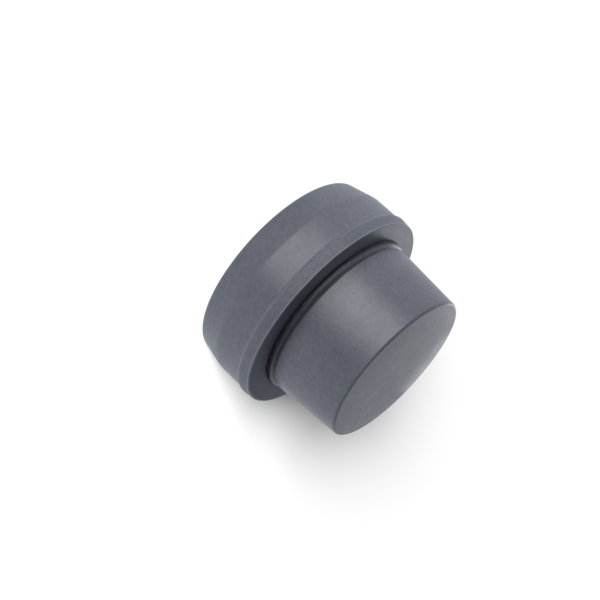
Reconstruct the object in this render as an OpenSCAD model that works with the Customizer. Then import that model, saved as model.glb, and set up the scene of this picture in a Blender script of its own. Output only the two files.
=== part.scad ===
// Flanged rubber stopper: a banded head, a flash ring where it was die-cut from
// the moulded sheet, and a tapered plug with a small bead and a fine crease at its root.
// Millimetres. The stopper stands on its head: the flat top of the head lies on
// z = 0, the axis is Z and the plug points up.

/* [Head] */
// Diameter of the head over its straight band
head_d = 18.4; // [17:0.1:22]
// Height of the head, from its flat top to the shoulder
head_h = 6.1; // [4.8:0.1:9]
// Diameter of the flat top, to the corner of the tapered band
top_d = 17.3; // [15:0.1:18]
// Height of the straight band and the flash ring together
band_h = 3.6; // [1.8:0.1:4.2]
// Radius of the head's top edge
top_edge_r = 0.45; // [0.1:0.05:0.8]
// Radius of the soft ridge between the two bands
ridge_r = 1.5; // [0.2:0.1:3]

/* [Flash ring] */
// Height of the flash ring under the shoulder
ring_h = 0.95; // [0.4:0.05:1.4]
// How far the flash ring stands out from the straight band
ring_proud = 0.15; // [0.05:0.01:0.3]
// Height of the slope that leads out to the flash ring
ring_lead = 0.2; // [0.05:0.01:0.3]
// Radius of the hollow in which that slope begins
ring_foot_r = 0.8; // [0:0.05:1.5]
// How much the ring's radius falls from its back edge to the shoulder
ring_draft = 0.12; // [0:0.01:0.3]
// Radius of the ring's back edge
ring_back_r = 0.35; // [0:0.01:0.4]
// Radius of the crisp cut edge at the shoulder
cut_edge_r = 0.06; // [0:0.01:0.2]

/* [Plug] */
// Diameter of the plug where it leaves the root bead
plug_root_d = 14.6; // [12:0.1:15.4]
// Diameter of the plug at its tip, to the corner of the rounded edge
plug_tip_d = 13.7; // [10:0.1:15]
// Length of the plug from the shoulder to the rim of its tip
plug_l = 7; // [4:0.1:14]
// Radius of the plug's tip edge
tip_edge_r = 0.32; // [0.1:0.05:1]
// Rise of the gently crowned tip above its rim
tip_crown = 0.15; // [0:0.01:0.4]

/* [Root bead] */
// Width of the flat step between the bead's outside and the groove round its foot
groove_gap = 0.06; // [0.02:0.01:0.15]
// Depth of the fine groove in the shoulder round the bead's foot
groove_depth = 0.1; // [0.05:0.01:0.2]
// Radius of the groove's edge and bottom
groove_edge_r = 0.04; // [0:0.01:0.08]
// How far the groove runs in behind the plug's root
undercut = 0.1; // [0:0.01:0.2]
// Height above the shoulder at which the bead reaches its full width
bead_foot_h = 0.18; // [0.1:0.01:0.35]
// Height above the shoulder at which the bead turns over into the crease
bead_h = 0.45; // [0.4:0.01:0.58]
// How far the bead stands out from the plug's root
bead_proud = 0.13; // [0.03:0.01:0.2]
// Radius of the bead's two corners
bead_edge_r = 0.12; // [0.02:0.01:0.2]
// Height above the shoulder of the bottom of the fine crease
crease_at = 0.68; // [0.62:0.01:0.75]
// Depth of the fine crease between the bead and the plug
crease_depth = 0.17; // [0.05:0.01:0.2]
// Radius in the bottom of the crease
crease_bottom_r = 0.03; // [0:0.01:0.06]
// Height from the bottom of the crease to the plug
crease_h = 0.13; // [0.08:0.01:0.2]
// Radius of the plug's edge at the crease
plug_edge_r = 0.06; // [0:0.01:0.1]

/* [Hidden] */

// Sides of the full revolve, and steps in each rounded corner of the section
revolve_sides = 192;
corner_steps = 6;
// Steps across the crown
crown_steps = 6;

rubber_grey = [0.42, 0.43, 0.46];

head_r = head_d / 2;
top_r = top_d / 2;
ring_r = head_r + ring_proud;
cut_r = ring_r - ring_draft;
root_r = plug_root_d / 2;
tip_r = plug_tip_d / 2;
bead_r = root_r + bead_proud;
groove_lip_r = bead_r + groove_gap;
foot_r = root_r - undercut;
crease_r = root_r - crease_depth;

ridge_z = head_h - band_h;
ring_foot_z = head_h - ring_h - ring_lead;
ring_back_z = head_h - ring_h;
shoulder_z = head_h;
groove_z = shoulder_z - groove_depth;
bead_foot_z = shoulder_z + bead_foot_h;
bead_z = shoulder_z + bead_h;
crease_z = shoulder_z + crease_at;
root_z = crease_z + crease_h;
tip_z = shoulder_z + plug_l;

// The section's points are [radius, height].

// Unit vector from point a to point b.
function toward(a, b) = (b - a) / norm(b - a);

// Half of the corner's opening angle at b, between a and c.
function half_angle(a, b, c) =
    acos(max(-1, min(1, toward(b, a) * toward(b, c)))) / 2;

// The largest radius up to r whose tangent points stay within 45% of both legs.
function fitting_radius(a, b, c, r) =
    min(r, 0.45 * min(norm(a - b), norm(c - b)) * tan(half_angle(a, b, c)));

// Angle of vector v.
function heading(v) = atan2(v[1], v[0]);

// Turn from angle a to angle b the short way round.
function short_turn(a, b) = let (t = (b - a + 540) % 360 - 180) t < -180 ? t + 360 : t;

// Arc of n steps that rounds corner b, tangent to its two legs.
function arc_points(a, b, c, r, n) =
    let (
        half = half_angle(a, b, c),
        middle = toward([0, 0], toward(b, a) + toward(b, c)),
        centre = b + middle * r / sin(half),
        start = b + toward(b, a) * r / tan(half),
        finish = b + toward(b, c) * r / tan(half),
        from = heading(start - centre),
        turn = short_turn(from, heading(finish - centre))
    )
    [for (i = [0 : n]) centre + r * [cos(from + turn * i / n), sin(from + turn * i / n)]];

// A corner is [point, radius]; a radius of 0 stays sharp.
function rounded(corners) = [
    for (i = [0 : len(corners) - 1])
        let (
            b = corners[i][0],
            a = corners[(i + len(corners) - 1) % len(corners)][0],
            c = corners[(i + 1) % len(corners)][0],
            r = corners[i][1] > 0 ? fitting_radius(a, b, c, corners[i][1]) : 0
        )
        each r > 0 ? arc_points(a, b, c, r, corner_steps) : [b]
];

// Crown over the tip, a shallow parabola that ends on the axis.
crown_r = tip_r - tip_edge_r;
crown = [
    for (i = [1 : crown_steps])
        let (x = crown_r * (1 - i / crown_steps))
        [[x, tip_z + tip_crown * (1 - pow(x / crown_r, 2))], 0]
];

section = rounded(concat(
    [
        [[0, 0], 0],
        [[top_r, 0], top_edge_r],
        [[head_r, ridge_z], ridge_r],
        [[head_r, ring_foot_z], ring_foot_r],
        [[ring_r, ring_back_z], ring_back_r],
        [[cut_r, shoulder_z], cut_edge_r],
        [[groove_lip_r, shoulder_z], groove_edge_r],
        [[foot_r, groove_z], groove_edge_r],
        [[bead_r, bead_foot_z], bead_edge_r],
        [[bead_r, bead_z], bead_edge_r],
        [[crease_r, crease_z], crease_bottom_r],
        [[root_r, root_z], plug_edge_r],
        [[tip_r, tip_z], tip_edge_r]
    ],
    crown
));

module stopper() {
    color(rubber_grey)
        rotate_extrude($fn = revolve_sides)
            polygon(section);
}

stopper();
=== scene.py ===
import math

import bmesh
import bpy
from mathutils import Matrix, Vector

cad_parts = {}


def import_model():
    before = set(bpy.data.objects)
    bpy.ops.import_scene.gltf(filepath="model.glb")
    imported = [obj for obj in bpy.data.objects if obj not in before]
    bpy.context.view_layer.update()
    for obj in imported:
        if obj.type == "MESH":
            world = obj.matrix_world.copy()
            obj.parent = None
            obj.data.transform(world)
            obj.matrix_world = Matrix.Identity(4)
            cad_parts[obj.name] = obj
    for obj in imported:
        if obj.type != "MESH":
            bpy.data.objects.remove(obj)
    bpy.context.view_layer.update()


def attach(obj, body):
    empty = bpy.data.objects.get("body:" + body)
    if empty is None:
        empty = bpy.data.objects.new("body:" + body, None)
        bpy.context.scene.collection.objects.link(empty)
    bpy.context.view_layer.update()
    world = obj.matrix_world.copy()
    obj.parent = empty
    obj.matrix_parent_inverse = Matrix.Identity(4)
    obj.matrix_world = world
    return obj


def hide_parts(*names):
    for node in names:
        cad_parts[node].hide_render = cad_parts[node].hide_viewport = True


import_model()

# Metres from the millimetres in which the stopper's sizes are given.
MM = 0.001

# The stopper's section, with the names and sizes of the part's source.
HEAD_D = 18.4
HEAD_H = 6.1
TOP_D = 17.3
BAND_H = 3.6
TOP_EDGE_R = 0.45
RIDGE_R = 1.5
RING_H = 0.95
RING_PROUD = 0.15
RING_LEAD = 0.2
RING_FOOT_R = 0.8
RING_DRAFT = 0.12
RING_BACK_R = 0.35
CUT_EDGE_R = 0.06
PLUG_ROOT_D = 14.6
PLUG_TIP_D = 13.7
PLUG_L = 7.0
TIP_CROWN = 0.15
GROOVE_GAP = 0.06
GROOVE_DEPTH = 0.1
GROOVE_EDGE_R = 0.04
UNDERCUT = 0.1
BEAD_FOOT_H = 0.18
BEAD_H = 0.45
BEAD_PROUD = 0.13
BEAD_EDGE_R = 0.12
CREASE_AT = 0.68
CREASE_DEPTH = 0.17
CREASE_BOTTOM_R = 0.03
CREASE_H = 0.13
PLUG_EDGE_R = 0.06

# What differs from the source: a crisper tip edge, a crown that stays flat for longer, and
# how far the plug's axis is out of line with the head's, as the mould halves left it.
TIP_EDGE_R = 0.22
CROWN_POWER = 4
PLUG_SHIFT = (-0.142, 0.028)

# How finely the section and the revolve are cut, with a guard step at each leg's ends.
SIDES = 384
ARC_STEPS = 8
CROWN_STEPS = 14
LEG_STEP = 0.45
GUARD = 0.03
SHORTEST_CUT_LEG = 4 * GUARD
# The share of the shorter leg that a rounded corner may take.
LEG_SHARE = 0.45
# A radius below this is on the axis.
AXIS_R = 1e-6
# On the shoulder, what lies further in than this moves with the plug.
SHOULDER_SPLIT_R = HEAD_D / 2 - 1

# The rubber's shades, linear.
DARK_SLATE = (0.112, 0.122, 0.149)
LIGHT_SLATE = (0.121, 0.132, 0.161)
VIOLET_SLATE = (0.121, 0.130, 0.161)

# Noises: blotch size in millimetres, detail, roughness, and the range that is stretched.
CLOUDS = (3.2, 2.0, 0.5, 0.35, 0.65)
TINTS = (2.4, 1.0, 0.5, 0.56, 0.72)
GRAIN = (0.34, 3.0, 0.6, 0.3, 0.7)
SPECKS = (0.12, 1.0, 0.5, 0.35, 0.65)
SHEEN = (1.1, 3.0, 0.5, 0.3, 0.7)
# The skin's two noises: blotch size in millimetres and detail.
SKIN_COARSE = (0.22, 2.0)
SKIN_FINE = (0.09, 1.0)

# How far the grain moves the shade, and the walls' roughness, shine and skin.
MOTTLE = 0.12
ROUGHNESS = (0.35, 0.43)
SHINE = 0.375
BUMP_STRENGTH = 0.35
BUMP_MM = 0.004

# The flash ring is matter, more grained and paler than the walls; on its cut edge a highlight
# is painted as a paler colour still, and the shoulder is matt on its rubbed side.
RING_MATT = 0.18
RING_GRAIN = 0.1
RING_PALE = 0.08
PAINTED_CUT_HIGHLIGHT = 0.75
SHOULDER_MATT = 0.38
# Where these zones end and how softly, in millimetres.
RING_FADE = 0.1
EDGE_W = 0.11
EDGE_FADE = 0.02
RUBBED_X = -4.5
RUBBED_FADE = 2.0

# The camera: where it looks and from how far, in millimetres, and how it is turned about
# its own axis.
FOCUS = (0.94, -0.91, 3.56)
CAMERA_DISTANCE = 114.9
CAMERA_ELEVATION = 19.8
CAMERA_ROLL = 132.8
LENS = 86.25
SENSOR = 36
# What it sees, in metres.
NEAREST, FARTHEST = 0.005, 20

# Collections: what the softboxes light, and what the sun lights.
LIT = "lit"
STAGE = "stage"

# Tints of the lamps and of the surroundings.
WHITE = (1.0, 1.0, 1.0)
BLACK = (0.0, 0.0, 0.0)
COOL = (0.955, 1.0, 1.04)
# The surroundings as the rubber's gloss shows them.
PAPER = (0.768, 0.788, 0.828)

# How far each softbox stands from the stopper, in metres.
REACH = 0.5
# Softboxes: azimuth, elevation, width and height for one metre's distance, tilt, level,
# whether gloss and matt colour see it, and its tint.
SOFTBOXES = {
    "key": (255, -14, 1.35, 0.6, -27.5, 2.15, True, True, WHITE),
    "left": (-9.5, -26.5, 1.5, 0.43, 1, 5.6, False, True, WHITE),
    "back": (107.5, 9.3, 0.35, 0.235, -17, 5.6, True, True, WHITE),
    "top": (186, 60.5, 0.37, 0.4, -4, 1.2, True, True, COOL),
    "over": (75, 60.5, 0.37, 0.4, -4, 4.3, True, True, COOL),
    "low": (178.5, -25.5, 1.2, 0.48, 5.5, 5.6, False, True, WHITE),
    "crown": (150, 37, 0.25, 0.35, 0, 5.2, False, True, WHITE),
    "streak": (245.5, -13.5, 1.04, 0.37, -5.5, 5.35, True, False, WHITE),
    "rear": (92, -25, 1.2, 0.5, 0, 2.5, False, True, WHITE),
}

# The card behind the tip: its azimuth in degrees, its place and size in millimetres.
CARD_AZIMUTH = 108
CARD_REACH = 7.0
CARD_Z = 13.45
CARD_SIZE = (6.4, 1.0)
CARD_LEVEL = 0.8
CARD_TINT = (1.0, 0.99, 1.0)

# The floor: its half size in metres, its white, what it glows by itself and with its sun.
FLOOR_HALF = 2.0
FLOOR_WHITE = 0.8
FLOOR_GLOW = 0.14
FLOOR_LEVEL = 1.03
# The floor's sun, in degrees.
SUN_AZIMUTH = -95.5
SUN_ELEVATION = 12.5
SUN_ANGLE = 15


def unit(v):
    """The vector at length 1."""
    length = math.hypot(*v)
    return (v[0] / length, v[1] / length)


def less(a, b):
    """The vector from point b to point a."""
    return (a[0] - b[0], a[1] - b[1])


def along(start, way, length):
    """The point that lies this length from start, along the unit vector."""
    return (start[0] + way[0] * length, start[1] + way[1] * length)


def arc(a, b, c, r, steps):
    """Points of the arc that rounds corner b, tangent to its two legs."""
    to_a, to_c = unit(less(a, b)), unit(less(c, b))
    dot = max(-1.0, min(1.0, to_a[0] * to_c[0] + to_a[1] * to_c[1]))
    half = math.acos(dot) / 2
    shortest = min(math.hypot(*less(a, b)), math.hypot(*less(c, b)))
    r = min(r, LEG_SHARE * shortest * math.tan(half))
    middle = unit((to_a[0] + to_c[0], to_a[1] + to_c[1]))
    centre = along(b, middle, r / math.sin(half))
    leg = r / math.tan(half)
    start = less(along(b, to_a, leg), centre)
    end = less(along(b, to_c, leg), centre)
    first = math.atan2(start[1], start[0])
    turn = math.atan2(end[1], end[0]) - first
    turn = (turn + math.pi) % (2 * math.pi) - math.pi
    turns = [first + turn * i / steps for i in range(steps + 1)]
    return [along(centre, (math.cos(t), math.sin(t)), r) for t in turns]


def corners():
    """The section's corners as (radius, height) with the radius that rounds each."""
    head_r, top_r = HEAD_D / 2, TOP_D / 2
    ring_r = head_r + RING_PROUD
    root_r, tip_r = PLUG_ROOT_D / 2, PLUG_TIP_D / 2
    bead_r, crease_r = root_r + BEAD_PROUD, root_r - CREASE_DEPTH
    tip_z = HEAD_H + PLUG_L
    rows = [
        ((0.0, 0.0), 0),
        ((top_r, 0.0), TOP_EDGE_R),
        ((head_r, HEAD_H - BAND_H), RIDGE_R),
        ((head_r, HEAD_H - RING_H - RING_LEAD), RING_FOOT_R),
        ((ring_r, HEAD_H - RING_H), RING_BACK_R),
        ((ring_r - RING_DRAFT, HEAD_H), CUT_EDGE_R),
        ((bead_r + GROOVE_GAP, HEAD_H), GROOVE_EDGE_R),
        ((root_r - UNDERCUT, HEAD_H - GROOVE_DEPTH), GROOVE_EDGE_R),
        ((bead_r, HEAD_H + BEAD_FOOT_H), BEAD_EDGE_R),
        ((bead_r, HEAD_H + BEAD_H), BEAD_EDGE_R),
        ((crease_r, HEAD_H + CREASE_AT), CREASE_BOTTOM_R),
        ((root_r, HEAD_H + CREASE_AT + CREASE_H), PLUG_EDGE_R),
        ((tip_r, tip_z), TIP_EDGE_R),
    ]
    crown_r = tip_r - TIP_EDGE_R
    for i in range(1, CROWN_STEPS + 1):
        x = crown_r * (1 - i / CROWN_STEPS)
        rows.append(((x, tip_z + TIP_CROWN * (1 - (x / crown_r) ** CROWN_POWER)), 0))
    return rows


def section():
    """The section's outline from the head's centre to the tip's centre."""
    rows = corners()
    points = [rows[0][0]]
    for i in range(1, len(rows) - 1):
        (b, r), a, c = rows[i], rows[i - 1][0], rows[i + 1][0]
        points += arc(a, b, c, r, ARC_STEPS) if r else [b]
    points.append(rows[-1][0])
    return points


def with_guards(points):
    """The outline with its long legs cut up, and a short step at each leg's ends."""
    out = [points[0]]
    for a, b in zip(points, points[1:]):
        length = math.hypot(*less(b, a))
        if length > SHORTEST_CUT_LEG:
            inner = length - 2 * GUARD
            count = max(1, math.ceil(inner / LEG_STEP))
            way = unit(less(b, a))
            out += [along(a, way, GUARD + inner * i / count) for i in range(count + 1)]
        out.append(b)
    return out


def ring_of(bm, radius, height, shift):
    """The vertices of one turn round the axis, or the one on it."""
    if radius < AXIS_R:
        return [bm.verts.new((shift[0] * MM, shift[1] * MM, height * MM))]
    ring = []
    for k in range(SIDES):
        a = 2 * math.pi * k / SIDES
        x = radius * math.cos(a) + shift[0]
        y = radius * math.sin(a) + shift[1]
        ring.append(bm.verts.new((x * MM, y * MM, height * MM)))
    return ring


def skin_between(bm, low, high):
    """The faces between two rings, of which one may be a single vertex."""
    for k in range(SIDES):
        j = (k + 1) % SIDES
        if len(low) == 1:
            bm.faces.new((low[0], high[j], high[k]))
        elif len(high) == 1:
            bm.faces.new((low[k], low[j], high[0]))
        else:
            bm.faces.new((low[k], low[j], high[j], high[k]))


def revolve(name, outline):
    """Mesh of the outline turned round the axis, the plug's part about its own axis."""
    mesh = bpy.data.meshes.new(name)
    bm = bmesh.new()
    rings = []
    on_plug = False
    for radius, height in outline:
        at_shoulder = height >= HEAD_H - GUARD / 2
        on_plug = on_plug or (at_shoulder and radius < SHOULDER_SPLIT_R)
        rings.append(ring_of(bm, radius, height, PLUG_SHIFT if on_plug else (0.0, 0.0)))
    for low, high in zip(rings, rings[1:]):
        skin_between(bm, low, high)
    for face in bm.faces:
        face.smooth = True
    bm.to_mesh(mesh)
    bm.free()
    return mesh


def add(tree, kind, **values):
    """A node of the kind, with its properties and inputs set by name."""
    node = tree.nodes.new("ShaderNode" + kind)
    for name, value in values.items():
        if hasattr(node, name):
            setattr(node, name, value)
        else:
            node.inputs[name.replace("_", " ")].default_value = value
    return node


def maths(tree, operation, *values):
    """Result of a Math node, each value a number or a socket."""
    node = add(tree, "Math", operation=operation)
    for socket, value in zip(node.inputs, values):
        if isinstance(value, (int, float)):
            socket.default_value = value
        else:
            tree.links.new(value, socket)
    return node.outputs[0]


def times(tree, a, b):
    """a times b."""
    return maths(tree, "MULTIPLY", a, b)


def plus(tree, base, a, b):
    """base and a times b together."""
    return maths(tree, "ADD", base, times(tree, a, b))


def noise(tree, place, size, detail, roughness=0.5):
    """Noise whose blotches are about size millimetres across."""
    node = add(tree, "TexNoise", Scale=1 / (size * MM), Detail=detail, Roughness=roughness)
    tree.links.new(place, node.inputs["Vector"])
    return node.outputs["Fac"]


def spread(tree, value, low, high, to_low=0.0, to_high=1.0, smooth=False):
    """The value's range low to high stretched over to_low to to_high."""
    node = add(tree, "MapRange", From_Min=low, From_Max=high, To_Min=to_low, To_Max=to_high)
    if smooth:
        node.interpolation_type = "SMOOTHSTEP"
    tree.links.new(value, node.inputs["Value"])
    return node.outputs["Result"]


def pattern(tree, place, kind, to_low=0.0, to_high=1.0):
    """Noise of one of the kinds above, stretched over to_low to to_high."""
    size, detail, roughness, low, high = kind
    return spread(tree, noise(tree, place, size, detail, roughness), low, high, to_low, to_high)


def step(tree, value, at, fade):
    """0 below the height or radius in millimetres, 1 above it, with a soft change."""
    return spread(tree, value, (at - fade) * MM, (at + fade) * MM, smooth=True)


def blend_colours(tree, amount, a, b):
    """Mix of two colours, each a plain colour or a socket."""
    node = add(tree, "Mix", data_type="RGBA")
    tree.links.new(amount, node.inputs["Factor"])
    for socket, colour in ((node.inputs[6], a), (node.inputs[7], b)):
        if isinstance(colour, tuple):
            socket.default_value = (*colour, 1)
        else:
            tree.links.new(colour, socket)
    return node.outputs[2]


def zones(tree, place):
    """How far each spot is on the flash ring, under the painted highlight of its cut rim and on
    the rubbed shoulder.
    """
    parts = add(tree, "SeparateXYZ")
    tree.links.new(place, parts.inputs[0])
    x, y, z = parts.outputs
    radius = maths(tree, "SQRT", plus(tree, times(tree, x, x), y, y))
    over_foot = step(tree, z, HEAD_H - RING_H - RING_LEAD, RING_FADE)
    over_top = step(tree, z, HEAD_H + RING_FADE, RING_FADE)
    under_top = maths(tree, "SUBTRACT", 1.0, over_top)
    outside = step(tree, radius, HEAD_D / 2 - EDGE_W, EDGE_FADE)
    near_cut = step(tree, z, HEAD_H - EDGE_W, EDGE_FADE)
    flange = times(tree, over_foot, under_top)
    ring = times(tree, flange, outside)
    # The cut edge's mask, where a highlight is painted into the colour.
    cut_highlight = times(tree, times(tree, outside, near_cut), under_top)
    rubbed = step(tree, x, RUBBED_X, RUBBED_FADE)
    shoulder = times(tree, maths(tree, "SUBTRACT", flange, ring), rubbed)
    return ring, cut_highlight, shoulder


def rubber():
    """Slate-grey satin rubber: clouded and finely mottled, with a highlight painted paler along
    the cut rim.
    """
    material = bpy.data.materials.new("rubber")
    material.use_nodes = True
    tree = material.node_tree
    shader = tree.nodes["Principled BSDF"]
    place = add(tree, "TexCoord").outputs["Object"]
    ring, cut_highlight, shoulder = zones(tree, place)
    specks = pattern(tree, place, SPECKS, -RING_GRAIN, RING_GRAIN)

    clouds = pattern(tree, place, CLOUDS)
    colour = blend_colours(tree, clouds, DARK_SLATE, LIGHT_SLATE)
    colour = blend_colours(tree, pattern(tree, place, TINTS), colour, VIOLET_SLATE)
    shade = spread(tree, pattern(tree, place, GRAIN), 0.0, 1.0, 1 - MOTTLE, 1 + MOTTLE)
    shade = plus(tree, shade, specks, ring)
    # Painted highlight: the cut edge's colour is made paler where light would catch its
    # rounding.
    shade = plus(tree, shade, cut_highlight, PAINTED_CUT_HIGHLIGHT)
    shade = plus(tree, shade, ring, RING_PALE)
    scaled = add(tree, "VectorMath", operation="SCALE")
    tree.links.new(colour, scaled.inputs[0])
    tree.links.new(shade, scaled.inputs["Scale"])
    tree.links.new(scaled.outputs[0], shader.inputs["Base Color"])

    rough = pattern(tree, place, SHEEN, *ROUGHNESS)
    rough = plus(tree, rough, ring, RING_MATT)
    rough = plus(tree, rough, shoulder, SHOULDER_MATT)
    tree.links.new(rough, shader.inputs["Roughness"])
    shader.inputs["Specular IOR Level"].default_value = SHINE

    coarse, fine = noise(tree, place, *SKIN_COARSE), noise(tree, place, *SKIN_FINE)
    skin = plus(tree, maths(tree, "ADD", coarse, fine), specks, ring)
    bump = add(tree, "Bump", Strength=BUMP_STRENGTH, Distance=BUMP_MM * MM)
    tree.links.new(skin, bump.inputs["Height"])
    tree.links.new(bump.outputs[0], shader.inputs["Normal"])
    return material


def stopper():
    """The whole stopper, in place of its CAD node."""
    mesh = revolve("stopper_rubber", with_guards(section()))
    mesh.materials.append(rubber())
    piece = bpy.data.objects.new("stopper_rubber", mesh)
    bpy.context.collection.objects.link(piece)
    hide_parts("stopper")
    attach(piece, "root")
    return piece


def camera():
    """The camera at the photograph's side, rolled so that the stopper seems to lie."""
    data = bpy.data.cameras.new("camera")
    data.lens = LENS
    data.sensor_width = SENSOR
    data.clip_start, data.clip_end = NEAREST, FARTHEST
    item = bpy.data.objects.new("camera", data)
    bpy.context.collection.objects.link(item)
    elevation = math.radians(CAMERA_ELEVATION)
    back = Vector((0, -math.cos(elevation), math.sin(elevation)))
    right0, up0 = Vector((1, 0, 0)), Vector((0, math.sin(elevation), math.cos(elevation)))
    roll = math.radians(CAMERA_ROLL)
    right = right0 * math.cos(roll) + up0 * math.sin(roll)
    up = up0 * math.cos(roll) - right0 * math.sin(roll)
    spot = (Vector(FOCUS) + back * CAMERA_DISTANCE) * MM
    turn = Matrix((right, up, back)).transposed().to_4x4()
    item.matrix_world = Matrix.Translation(spot) @ turn
    bpy.context.scene.camera = item


def lamp(name, kind, group):
    """Lamp that lights only what is in the group."""
    data = bpy.data.lights.new(name, kind)
    item = bpy.data.objects.new(name, data)
    bpy.context.collection.objects.link(item)
    item.light_linking.receiver_collection = bpy.data.collections[group]
    return item, data


def direction(azimuth, elevation):
    """Unit vector towards the azimuth and elevation in degrees."""
    a, e = math.radians(azimuth), math.radians(elevation)
    return Vector((math.cos(a) * math.cos(e), math.sin(a) * math.cos(e), math.sin(e)))


def facing(towards):
    """Turn of a lamp that stands this way from what it lights."""
    return towards.to_track_quat("Z", "Y").to_matrix()


def softbox(name, azimuth, elevation, width, height, tilt, level, glossy, diffuse, tint):
    """Area light that faces the stopper; level 1 is as bright as white paper."""
    item, data = lamp(name, "AREA", LIT)
    data.shape = "RECTANGLE"
    data.size, data.size_y = width * REACH, height * REACH
    data.energy = level * math.pi * data.size * data.size_y
    data.color = tint
    towards = direction(azimuth, elevation)
    spot = towards * REACH + Vector((0, 0, HEAD_H * MM))
    turn = facing(towards) @ Matrix.Rotation(math.radians(tilt), 3, "Z")
    item.matrix_world = Matrix.Translation(spot) @ turn.to_4x4()
    item.visible_camera = False
    item.visible_glossy = glossy
    item.visible_diffuse = diffuse


def card():
    """Small pale card close behind the tip, which the far side of the end face mirrors."""
    item, data = lamp("card", "AREA", LIT)
    data.shape = "ELLIPSE"
    data.size, data.size_y = CARD_SIZE[0] * MM, CARD_SIZE[1] * MM
    data.energy = CARD_LEVEL * math.pi * (math.pi / 4 * data.size * data.size_y)
    data.color = CARD_TINT
    towards = direction(CARD_AZIMUTH, 0)
    spot = (towards * CARD_REACH + Vector((0, 0, CARD_Z))) * MM
    item.matrix_world = Matrix.Translation(spot) @ facing(towards).to_4x4()
    item.visible_camera = False
    item.visible_diffuse = False


def floor_sun():
    """Low soft sun that lights the floor alone, so that the stopper's shadow lies on it."""
    item, data = lamp("floor_sun", "SUN", STAGE)
    data.angle = math.radians(SUN_ANGLE)
    share = FLOOR_WHITE * math.sin(math.radians(SUN_ELEVATION))
    data.energy = (FLOOR_LEVEL - FLOOR_GLOW) * math.pi / share
    item.matrix_world = facing(direction(SUN_AZIMUTH, SUN_ELEVATION)).to_4x4()


def surroundings(tree, colour):
    """Even light of this colour from all round."""
    return add(tree, "Background", Strength=1.0, Color=(*colour, 1)).outputs[0]


def choose(tree, switch, off, on):
    """The on shader where the switch is 1, else the off shader."""
    node = add(tree, "MixShader")
    for socket, value in zip(node.inputs, (switch, off, on)):
        tree.links.new(value, socket)
    return node.outputs[0]


def world():
    """White for the camera, pale for gloss and glass, and no light of its own."""
    item = bpy.data.worlds.new("studio")
    item.use_nodes = True
    bpy.context.scene.world = item
    tree = item.node_tree
    tree.nodes.clear()
    seen = add(tree, "LightPath").outputs
    mirrored = maths(tree, "MAXIMUM", seen["Is Glossy Ray"], seen["Is Transmission Ray"])
    shader = choose(tree, mirrored, surroundings(tree, BLACK), surroundings(tree, PAPER))
    shader = choose(tree, seen["Is Camera Ray"], shader, surroundings(tree, WHITE))
    tree.links.new(shader, add(tree, "OutputWorld").inputs["Surface"])


def floor():
    """Plain matt floor, which glows a little and shows the stopper's shadow."""
    mesh = bpy.data.meshes.new("floor")
    h = FLOOR_HALF
    mesh.from_pydata([(-h, -h, 0), (h, -h, 0), (h, h, 0), (-h, h, 0)], [], [(0, 1, 2, 3)])
    material = bpy.data.materials.new("floor")
    material.use_nodes = True
    shader = material.node_tree.nodes["Principled BSDF"]
    shader.inputs["Base Color"].default_value = (FLOOR_WHITE, FLOOR_WHITE, FLOOR_WHITE, 1)
    shader.inputs["Roughness"].default_value = 1.0
    shader.inputs["Specular IOR Level"].default_value = 0.0
    shader.inputs["Emission Color"].default_value = (*WHITE, 1)
    shader.inputs["Emission Strength"].default_value = FLOOR_GLOW
    mesh.materials.append(material)
    item = bpy.data.objects.new("floor", mesh)
    bpy.context.collection.objects.link(item)
    bpy.data.collections[STAGE].objects.link(item)
    item.visible_diffuse = False
    item.visible_glossy = False
    item.visible_shadow = False


for group in (LIT, STAGE):
    bpy.data.collections.new(group)
bpy.data.collections[LIT].objects.link(stopper())
camera()
for name, settings in SOFTBOXES.items():
    softbox(name, *settings)
card()
world()
floor()
floor_sun()
bpy.context.scene.view_settings.view_transform = "Standard"
